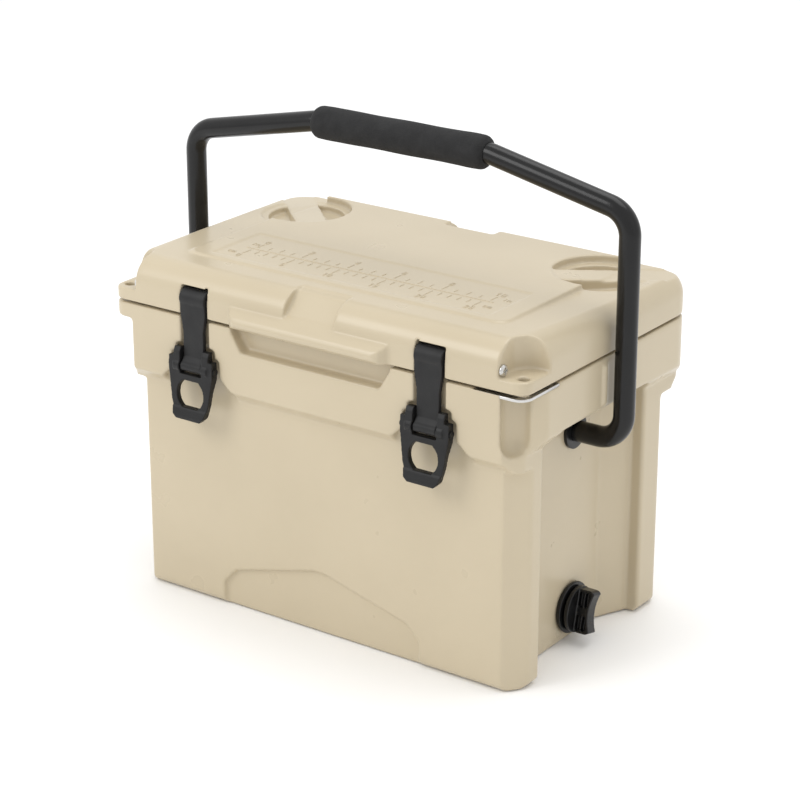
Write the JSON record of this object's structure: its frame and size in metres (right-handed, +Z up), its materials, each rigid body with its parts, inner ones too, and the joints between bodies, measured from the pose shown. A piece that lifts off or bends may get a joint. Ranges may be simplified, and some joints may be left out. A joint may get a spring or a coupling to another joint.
{
  "type": "cooler chest",
  "caption": "Rotomoulded hard cooler with a hinged lid, ruler panel and cup recesses, a swinging bail handle with a foam grip, rubber strap latches and a drain plug.",
  "frame": {"origin": "centre of the body's footprint, on the plane the feet stand on", "axes": "+Z up; X along the length, drain on the +X end; the latches face -Y; the hinges are at the back, +Y"},
  "size_m": [0.489, 0.3015, 0.45],
  "materials": {
    "shell": "semi-gloss tan rotomoulded polyethylene with a fine orange-peel texture",
    "foam": "cream polyurethane insulation foam, hidden between the skins",
    "gasket": "soft grey gasket",
    "stainless": "brushed stainless steel",
    "latch_rubber": "black moulded rubber, satin",
    "latch_plastic": "black satin nylon",
    "black_plastic": "black satin plastic",
    "black_rubber": "black rubber, matt",
    "coated_steel": "black gloss powder coat on steel tube",
    "grip_foam": "black closed-cell foam, matt"
  },
  "bodies": {
    "base": {"body_shell": "shell", "body_foam": "foam", "body_foam_plug": "shell", "lock_plate": "stainless", "lock_plate_screws": "stainless", "handle_bushing_left": "black_plastic", "handle_bushing_right": "black_plastic", "drain_fitting": "black_plastic", "drain_washer": "black_rubber", "drain_nut": "black_plastic", "hinge_pin_left": "stainless", "hinge_pin_right": "stainless", "foot_front_left": "black_rubber", "foot_front_right": "black_rubber", "foot_back_left": "black_rubber", "foot_back_right": "black_rubber"},
    "lid": {"lid_shell": "shell", "lid_foam": "foam", "lid_foam_plug": "shell", "lid_gasket": "gasket", "latch_screw_left": "stainless", "latch_screw_right": "stainless"},
    "strap_left": {"latch_strap_left": "latch_rubber"},
    "strap_right": {"latch_strap_right": "latch_rubber"},
    "tab_left": {"latch_tab_left": "latch_plastic", "t_bar_left": "latch_plastic"},
    "tab_right": {"latch_tab_right": "latch_plastic", "t_bar_right": "latch_plastic"},
    "handle": {"handle_tube": "coated_steel", "handle_grip": "grip_foam"},
    "plug": {"drain_plug": "black_plastic", "drain_plug_seal": "black_rubber"}
  },
  "joints": [
    {"name": "lid_hinge", "type": "hinge", "parent": "base", "child": "lid", "pos_m": [0, 0.142, 0.2725], "axis": [-1, 0, 0], "range_deg": [0, 26]},
    {"name": "handle_hinge", "type": "hinge", "parent": "base", "child": "handle", "pos_m": [0, 0, 0.201], "axis": [1, 0, 0], "range_deg": [-125, 125]},
    {"name": "strap_hinge_left", "type": "hinge", "parent": "lid", "child": "strap_left", "pos_m": [-0.127, -0.131, 0.298], "axis": [-1, 0, 0], "range_deg": [0, 78]},
    {"name": "strap_hinge_right", "type": "hinge", "parent": "lid", "child": "strap_right", "pos_m": [0.127, -0.131, 0.298], "axis": [-1, 0, 0], "range_deg": [0, 78]},
    {"name": "tab_hinge_left", "type": "hinge", "parent": "strap_left", "child": "tab_left", "pos_m": [-0.127, -0.141, 0.2345], "axis": [-1, 0, 0], "range_deg": [-10, 30]},
    {"name": "tab_hinge_right", "type": "hinge", "parent": "strap_right", "child": "tab_right", "pos_m": [0.127, -0.141, 0.2345], "axis": [-1, 0, 0], "range_deg": [-10, 30]},
    {"name": "drain_plug_turn", "type": "hinge", "parent": "base", "child": "plug", "pos_m": [0.192, 0, 0.031], "axis": [1, 0, 0], "range_deg": [0, 360]}
  ]
}
